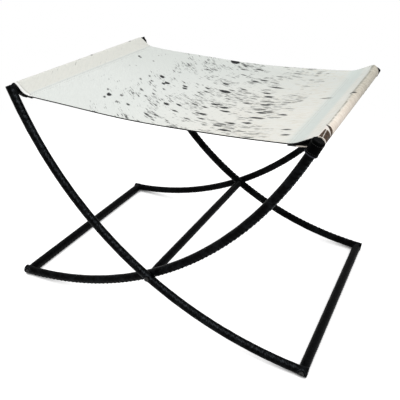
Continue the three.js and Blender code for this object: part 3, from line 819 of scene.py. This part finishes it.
# The marks that stand out on the coat: x, y, length, width and darkness, in plan
MARKS = [
    (-238, 129, 14, 5.2, 0.55), (-231, 124, 9, 4.1, 0.5), (-206, 166, 6, 3.1, 0.4), (-202, 173, 5, 3.1, 0.4),
    (-217, 53, 8, 3.1, 0.15), (-206, 62, 8, 3.1, 0.15), (-193, 118, 9, 4.1, 0.35), (-165, -111, 14, 4.1, 0.6),
    (-146, -136, 21, 6.2, 0.85), (-145, -153, 14, 4.1, 0.6), (-124, -126, 14, 5.2, 0.35),
    (-111, -162, 14, 5.2, 0.3), (-149, -13, 15, 4.1, 0.6), (-144, 16, 14, 4.1, 0.6),
    (-123, -11, 15, 4.1, 0.6), (-111, -73, 24, 4.1, 0.7), (-120, 28, 23, 6.2, 0.8), (-89, -6, 20, 6.2, 0.95),
    (-94, -13, 16, 5.2, 0.95), (-75, -46, 16, 4.1, 0.7), (-77, -83, 16, 4.1, 0.6), (-28, -121, 17, 5.2, 0.7),
    (3, -147, 16, 4.1, 0.65), (-5, -114, 15, 4.1, 0.6), (-47, -7, 16, 5.2, 0.85), (-41, -20, 14, 5.2, 0.8),
    (-33, -187, 16, 4.1, 0.6), (-16, -183, 14, 4.1, 0.6), (-87, -162, 16, 4.1, 0.6),
    (-83, -103, 14, 4.1, 0.6), (48, -139, 15, 4.1, 0.65), (-30, 219, 24, 8.5, 1), (-6, 214, 26, 3.6, 0.5),
    (8, 209, 20, 3.6, 0.5), (3, 204, 17, 4.1, 0.6), (7, 177, 16, 4.1, 0.6), (26, 134, 16, 4.1, 0.7),
    (38, 2, 24, 7.2, 1), (20, 50, 16, 5.2, 0.8), (53, -80, 16, 5.2, 0.7), (43, -103, 15, 4.1, 0.7),
    (76, -91, 16, 5.2, 0.7), (56, -140, 18, 5.2, 0.9), (87, -110, 18, 5.2, 0.9), (65, -164, 15, 4.1, 0.6),
    (66, 98, 18, 5.2, 0.8), (81, 115, 17, 5.2, 0.8), (121, 76, 28, 5.2, 0.8), (117, 30, 18, 5.2, 0.8),
    (129, 10, 18, 5.2, 0.8), (140, -44, 17, 5.2, 0.75), (150, -92, 18, 5.2, 0.95), (160, -82, 17, 5.2, 0.95),
    (151, -122, 25, 5.2, 0.95), (121, -165, 16, 5.2, 0.7), (146, -153, 16, 5.2, 0.75),
    (123, -200, 16, 5.2, 0.6), (102, 159, 16, 4.1, 0.7), (67, 32, 15, 4.1, 0.7), (0, 4, 14, 4.1, 0.7),
    (7, -18, 15, 4.1, 0.75), (189, -87, 15, 5.2, 0.5), (219, -157, 16, 4.1, 0.5), (224, -183, 15, 4.1, 0.5),
    (-61, 133, 15, 4.1, 0.5), (-114, -230, 7, 4, 0.85), (232, 36, 14, 3.5, 0.5), (243, 41, 14, 4, 0.7),
]

# Marks on the sleeves: side, degrees outwards from the rail's top, y, length, width and darkness
SLEEVE_MARKS = [(1, -20, 36, 16, 10, 1.0), (1, -20, 48, 9, 3, 0.5), (-1, 22, -32, 9, 6, 0.8),
                (-1, 6, 10, 9, 6, 0.8), (-1, 20, 171, 20, 9, 0.25)]


def fleck_list():
    """The marks on the flat sling: place along and across, half length, half width, darkness."""
    flecks = []
    for x, y, length, width, dark in MARKS:
        fine = np.interp(x, (-90.0, -20.0), (0.84, 1.0))
        half_width = fine * width * (0.35 + 0.1 * width)
        u = np.interp(x, sling_line[over, 0], sling_u[over])
        flecks.append((u, y, 0.66 * fine * length, half_width, min(1.0, dark + 0.1)))
    for side, degrees, y, length, width, dark in SLEEVE_MARKS:
        u = U_TOP[side] + side * math.radians(degrees) * SLEEVE_RADIUS
        flecks.append((u, y, 0.5 * length, 0.5 * width, dark))
    return flecks


LENS = 1.65  # how pointed a mark's ends are: 2 is an ellipse, 1 has straight sides


def fleck_field(u, v):
    """Signed distance to the nearest fleck in millimetres, inside positive, and that fleck's darkness."""
    field = np.full(u.shape, -9.0)
    tone = np.zeros(u.shape)
    for cu, cv, half_long, half_wide, dark in fleck_list():
        near = (np.abs(u - cu) < half_long + 12) & (np.abs(v - cv) < half_long + 12)
        du, dv = u[near] - cu, v[near] - cv
        lean = math.atan(FLOW_BEND * (cu - FLOW_X))
        lengthways = du * math.cos(lean) + dv * math.sin(lean)
        crossways = -du * math.sin(lean) + dv * math.cos(lean) - 0.004 * lengthways ** 2
        taper = 1 + 0.35 * lengthways / half_long
        far = (np.abs(lengthways / half_long) ** LENS
               + np.abs(crossways / (half_wide * np.clip(taper, 0.3, 1.6))) ** LENS) ** (1 / LENS)
        depth = (1 - far) * half_wide * 1.3
        closer = depth > field[near]
        field[near] = np.where(closer, depth, field[near])
        tone[near] = np.where(closer, dark, tone[near])
    return field, tone


# The furry patch at the front of the right sleeve: corners as (distance round the rail from its top, y)
PATCH = [(-1.1, -216.5), (23.0, -207.0), (23.0, -188.0), (-0.3, -180.0)]
PATCH_LINE = [(2.9, -189.0), (4.6, -214.0)]  # a thin pale line through it
# The dark arc behind the patch: its y and its half width, each by the distance round the rail
ARC_PATH = ((-4.0, -0.6, 6.5, 13.5, 17.6, 23.0), (-157.0, -163.0, -171.0, -176.0, -183.0, -190.0))
ARC_HALF = ((0.0, 5.0, 10.0), (2.2, 5.6, 6.4))


def left_of(w, y, start, end):
    """Distance of points to the left of the line from start to end."""
    run = math.hypot(end[0] - start[0], end[1] - start[1])
    return ((end[0] - start[0]) * (y - start[1]) - (end[1] - start[1]) * (w - start[0])) / run


def sleeve_fields(u, v):
    """Fields of the right sleeve's front end in millimetres: furry patch, arc behind it, pale trim."""
    w = u - U_TOP[1]
    patch = np.full(u.shape, 99.0)
    for start, end in zip(PATCH, PATCH[1:] + PATCH[:1]):
        patch = np.minimum(patch, left_of(w, v, start, end))
    patch = np.minimum(patch, np.abs(left_of(w, v, *PATCH_LINE)) - 0.4)
    behind = v - np.interp(w, *ARC_PATH)
    arc = np.minimum(np.interp(w, *ARC_HALF) - np.abs(behind), w + 3.5)
    trim = np.minimum(-behind, w + 2.6)
    return tuple(np.clip(field, -9, 9) for field in (patch, arc, trim))


# The left sleeve's front edge is pressed down beside the rail, and the back edge curls up towards the right:
# how far, by x
LIP = ((-290.0, -286.0, -281.0, -275.0, -270.0, -262.0, -250.0), (0.0, 1.2, 3.4, 5.8, 5.6, 2.6, 0.0))
CURL = ((-292.0, -240.0, -123.0, -29.0, 67.0, 150.0, 216.0, 254.0, 279.0, 298.0),
        (0.0, 2.0, 3.6, 4.0, 5.6, 7.0, 8.0, 9.5, 8.5, 6.0))
FLAP_DROP = 2.4
LIP_WIDTH, CURL_WIDTH = 14.0, 38.0


def edge_rise(u, x, front_inset, back_inset):
    """How far the sheet is moved up along its edges."""
    top_run = (u > U_TOP[-1]) & (u < U_TOP[1])
    press = np.clip(1 - front_inset / LIP_WIDTH, 0, 1) ** 1.7
    lip = -np.interp(x, *LIP) * press * top_run
    flap = (u < U_TOP[-1] - 14) & (u > U_FLAP[-1] - 3)
    sag = np.interp(x, (-284.0, -272.0, -262.0), (0.0, FLAP_DROP, FLAP_DROP / 2)) * press * flap
    curl = np.clip(1 - back_inset / CURL_WIDTH, 0, 1) ** 1.6
    round_rail = np.interp(u, (U_TOP[1], U_TOP[1] + 16), (1.0, 0.0))
    return lip - sag + np.interp(x, *CURL) * curl * round_rail * (u > U_TOP[-1])


def sling_wave(u, v):
    """How far the seat lies above or below its plain curve: soft waves, none at the hems."""
    free = np.clip((np.minimum(U_HEM[1] - u, u - U_HEM[-1]) - 6) / 60, 0, 1)
    return eased(free) * (0.5 * np.sin(u / 61 + v / 95 + 0.8) + 0.35 * np.sin(u / 37 - v / 57 + 2.1))


EDGE_ROUND, EDGE_SOFT = 0.9, 0.25  # how far in from a sheet's edge its two sides and its rounded rim start
RIM_SHARE = 0.82  # how thick the sheet still is where the rim starts


def sheet_piece(rows, half_thick, top_count, low_count, offset=0.0, set_back=0.0):
    """A closed sheet of even thickness along the sling's line. Returns its piece and its u and y."""
    line, u, normal = sling_line[rows], sling_u[rows], sling_normal[rows]
    front = sling_edge(line[:, 0], FRONT)[:, None] + set_back
    back = sling_edge(line[:, 0], BACK)[:, None] - set_back
    top, low = (front + EDGE_ROUND + (back - front - 2 * EDGE_ROUND) * share
                for share in (np.linspace(0, 1, top_count), np.linspace(1, 0, low_count)))
    y = np.concatenate([top, back - EDGE_SOFT, back, back - EDGE_SOFT,
                        low, front + EDGE_SOFT, front, front + EDGE_SOFT], axis=1)
    rim = np.array([RIM_SHARE, 0.0, -RIM_SHARE])
    lift = np.concatenate([np.ones(top_count), rim, -np.ones(low_count), -rim]) * half_thick + offset
    side = np.concatenate([np.ones(top_count), 0 * rim, -np.ones(low_count), 0 * rim])
    rings, sides = y.shape
    uu, xx = (np.repeat(values[:, None], sides, 1) for values in (u, line[:, 0]))
    lift = lift + sling_wave(uu, y)
    x = xx + normal[:, :1] * lift
    z = line[:, 1:] + normal[:, 1:] * lift + edge_rise(uu, xx, y - front + set_back, back + set_back - y)
    faces = loft_faces(rings, sides, closed=False)
    faces += [tuple(range(sides)), tuple(range((rings - 1) * sides, rings * sides))]
    piece = Piece()
    piece.add(np.stack([x, y, z], 2), np.stack([uu, y, np.repeat(side[None, :], rings, 0)], 2), faces)
    return piece, uu.ravel(), y.ravel()


LINING_SET_BACK = 4.0  # how far the lining's front and back edges lie inside the hide's
LINING_HALF, LINING_DEPTH = 0.6, 0.85  # half its thickness, and how far its middle lies under the hide
STITCH_HALF, STITCHES = 1.75, 80  # half the length of a hem stitch, and how many are in a row
ROW_INSET, ROW_END = 1.8, 4.0  # from a row of stitches to the hem's edges, and to the sheet's
SLEEVE_ROW_SHORT = 40.0  # how much sooner the rows on the right stop at the back


def make_sling():
    """The hide, its lining and the stitches of its hems, on both frames."""
    everywhere = np.ones(len(sling_line), bool)
    piece, u, v = sheet_piece(everywhere, HIDE_THICKNESS / 2, 290, 90)
    piece.extra["fleck"], piece.extra["fleck_tone"] = fleck_field(u, v)
    piece.extra["patch"], piece.extra["arc"], piece.extra["trim"] = sleeve_fields(u, v)
    piece.extra["inset"] = v - sling_edge(np.interp(u, sling_u, sling_line[:, 0]), FRONT)
    sling = piece.build("seat_sling", None, "cowhide", cowhide)

    lined = (sling_line[:, 0] > -(HEM_X[-1] - HEM_SEAM - 2)) & (sling_line[:, 0] < HEM_X[1] - HEM_SEAM - 2)
    lined &= (sling_u > U_HEM[-1]) & (sling_u < U_HEM[1])
    under, _, _ = sheet_piece(lined, LINING_HALF, 90, 60, -HIDE_THICKNESS / 2 - LINING_DEPTH, LINING_SET_BACK)
    backing = under.build("sling_lining", None, "lining", lining_leather)

    stitches = Piece()
    t, ring, thick = thread_stitch(6, 0.42, 0.03)
    between = np.where((sling_u > U_HEM[-1] - 4) & (sling_u < U_HEM[1] + 4))[0]
    for side in (-1, 1):
        for row_x in (HEM_X[side] - ROW_INSET, HEM_X[side] - HEM_SEAM + ROW_INSET):
            index = between[int(np.argmin(np.abs(sling_line[between, 0] - side * row_x)))]
            mid, out = sling_line[index], sling_normal[index]
            first, final = (sling_edge(mid[0], end) - ROW_END * end for end in (FRONT, BACK))
            for centre in np.linspace(first, final - SLEEVE_ROW_SHORT * (side > 0), STITCHES):
                for lift in (HIDE_THICKNESS / 2, -1.5 * HIDE_THICKNESS - UNDER_GAP):
                    level = lift - np.sign(lift) * (0.05 + 0.3 * t ** 4) + thick * np.sin(ring)
                    cross = thick * np.cos(ring)
                    grids = (mid[0] + out[0] * level + out[1] * cross, centre + STITCH_HALF * t + 0 * ring,
                             mid[1] + out[1] * level - out[0] * cross)
                    add_tube(stitches, lambda x, y, z: np.stack([x, y, z], 1),
                             lambda x, y, z: (y, x - mid[0], z - mid[1]), grids)
    sewn = stitches.build("sling_hem_stitches", None, "cowhide", pale_thread)

    # Each of the sling's pieces has its placement written into its mesh, and the frame's sling pieces are
    # hidden
    for soft in (sling, backing, sewn):
        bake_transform(soft)
    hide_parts("seat_hide", "seat_sleeve_right")
    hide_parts("seat_lining")


# Materials
# A leather's light tone colours its worn patches and the painted highlight on its raised tops and the cap's
# rim
leg_leather = make_leather("leg_leather", 0.0005, 0.044, 0.28, 0.35, 0.025)
lace_leather = make_leather("lace_leather", 0.0006, 0.05, 0.26, 0.12, 0.03)
bar_leather = make_leather("bar_leather", 0.0012, 0.017, 0.34, 0.5, 0.026)
cap_leather = make_leather("cap_leather", 0.0003, 0.006, 0.34, 0.25, 0.011, CAP_SIZE[FRONT][1] - RIM_BACK)
iron = make_iron("black_iron", 0.012, 0.35, 0.55, 0.6)
screw_metal = make_iron("screw_metal", 0.016, 0.3, 0.5, 0.3)
black_thread = make_thread("black_thread", 0.02)
pale_thread = make_thread("pale_thread", 0.62)
lining_leather = make_lining("lining_leather")
cowhide = make_hide("cowhide")

# The legs, rails, rods and axle inside the leather
for name, node in nodes.items():
    if name.endswith(("leg_front", "leg_back", "rail", "rod", "axle")):
        node.data.materials.clear()
        node.data.materials.append(iron)

# Legs: the seam runs on the outer face, on the bow's inside for the fore frame and outside for the aft one
for end, seed in ((FRONT, 11), (BACK, 12)):
    make_leg("fore", end, math.radians(-57), seed)
    make_leg("aft", end, math.radians(56), seed + 10)
    make_cap(end, seed + 20)

# Bars across the stool, with their seams turned down and away from a sitter
for frame_name, seam, seed in (("fore", 228, 41), ("aft", -48, 42)):
    make_bar_cover(f"{frame_name}_foot_bar", f"{frame_name}_frame", SIDE[frame_name] * FOOT_X, FOOT_Z,
                   FOOT_COVER_RADIUS, FOOT_BAR_INSET - LEG_Y[frame_name, FRONT],
                   LEG_Y[frame_name, BACK] - FOOT_BAR_INSET, math.radians(seam), 0.0, seed,
                   f"{frame_name}_foot_wrap", 0.9)
make_bar_cover("pivot_axle", "fore_frame", 0.0, PIVOT_Z, COVER_RADIUS, -AXLE_REACH, AXLE_REACH,
               math.radians(215), None, 43, "pivot_axle_wrap", 0.4)

for end in (FRONT, BACK):
    for frame_name in ("fore", "aft"):
        leg_y = LEG_Y[frame_name, end]
        make_screw(f"{frame_name}_foot", frame_name, end, SIDE[frame_name] * FOOT_X, FOOT_Z, leg_y, leg_y)
    make_screw("pivot", "fore", end, 0.0, PIVOT_Z, OUTER_LEG_Y, INNER_LEG_Y)
    make_washer(end)

make_sling()


# Stage
FLOOR_HALF, FLOOR_SUNK = 6.0, 0.0003


def make_floor():
    """A pale floor that keeps the stool's shadow and is white to the camera. Near the stool its glow dims
    with ambient occlusion, a painted contact shadow.
    """
    s = Shade("floor")
    s.tree.nodes.remove(s.surface)
    diffuse = s.add("ShaderNodeBsdfDiffuse", {"Color": grey(0.8)})
    # Painted contact shadow: the glow dims where ambient occlusion finds the stool close by
    ao_for_painted_shadow = s.add("ShaderNodeAmbientOcclusion", {"Distance": 0.045}, ("AO",), samples=12)
    glow_with_painted_shadow = s.add("ShaderNodeEmission", {"Strength": s.ramp(ao_for_painted_shadow, 0.05, 0.75, 0.02, 0.78)})
    lit = s.add("ShaderNodeAddShader", {0: diffuse, 1: glow_with_painted_shadow})
    white = s.add("ShaderNodeEmission", {"Strength": 1.0})
    spot = s.add("ShaderNodeTexCoord", outputs=("Object",))
    far = s.add("ShaderNodeVectorMath", {0: spot}, ("Value",), operation="LENGTH")
    near_far = s.add("ShaderNodeMixShader", {0: s.ramp(far, 0.75, 1.3), 1: lit, 2: white})
    plain = s.add("ShaderNodeMixShader", {0: s.seen(), 1: diffuse, 2: near_far})
    s.put(plain, s.tree.nodes["Material Output"].inputs["Surface"])
    mesh = bpy.data.meshes.new("floor")
    corners = [(x * FLOOR_HALF, y * FLOOR_HALF, 0) for x, y in ((-1, -1), (1, -1), (1, 1), (-1, 1))]
    mesh.from_pydata(corners, [], [(0, 1, 2, 3)])
    mesh.materials.append(s.material)
    floor = new_object("floor", mesh)
    floor.location.z = -FLOOR_SUNK


def soft_lamp(name, location, target, size, power):
    """A large square lamp that the camera doesn't see."""
    lamp = bpy.data.lights.new(name, "AREA")
    lamp.shape = "SQUARE"
    lamp.size = size
    lamp.energy = power
    made = new_object(name, lamp)
    made.location = location
    made.rotation_euler = (Vector(target) - Vector(location)).to_track_quat("-Z", "Y").to_euler()
    made.visible_camera = False


make_floor()

# Soft light from all round, white behind the stool
world = bpy.data.worlds.new("studio")
scene.world = world
world.use_nodes = True
sky = Nodes(world.node_tree)
background = sky.tree.nodes["Background"].inputs
sky.put(grey(1.0), background["Color"])
sky.put(sky.ramp(sky.seen(), 0.0, 1.0, 0.5, 1.0), background["Strength"])

soft_lamp("overhead", (-0.35, -0.25, 2.1), (0.0, 0.0, 0.3), 1.5, 14.5)
soft_lamp("side", (1.6, -0.9, 1.1), (0.0, 0.0, 0.25), 0.9, 4.0)
soft_lamp("glint", (0.9, -0.9, 1.45), (0.0, 0.0, 0.2), 0.3, 4.0)

# Camera at the photograph's angle
CAMERA_PLACE = Vector((0.461253, -1.012289, 0.763780))
CAMERA_TARGET = Vector((-0.008063, 0.0, 0.161535))
CAMERA_ROLL = 0.030451
lens = bpy.data.cameras.new("photo_camera")
lens.sensor_width = 36.0
lens.lens = 50.489
look = (CAMERA_TARGET - CAMERA_PLACE).normalized()
right = look.cross(Vector((0, 0, 1))).normalized()
axes = Matrix((right, right.cross(look), -look)).transposed().to_4x4()
camera = new_object("photo_camera", lens)
camera.matrix_world = Matrix.Translation(CAMERA_PLACE) @ axes @ Matrix.Rotation(CAMERA_ROLL, 4, "Z")
scene.camera = camera
scene.view_settings.view_transform = "Standard"
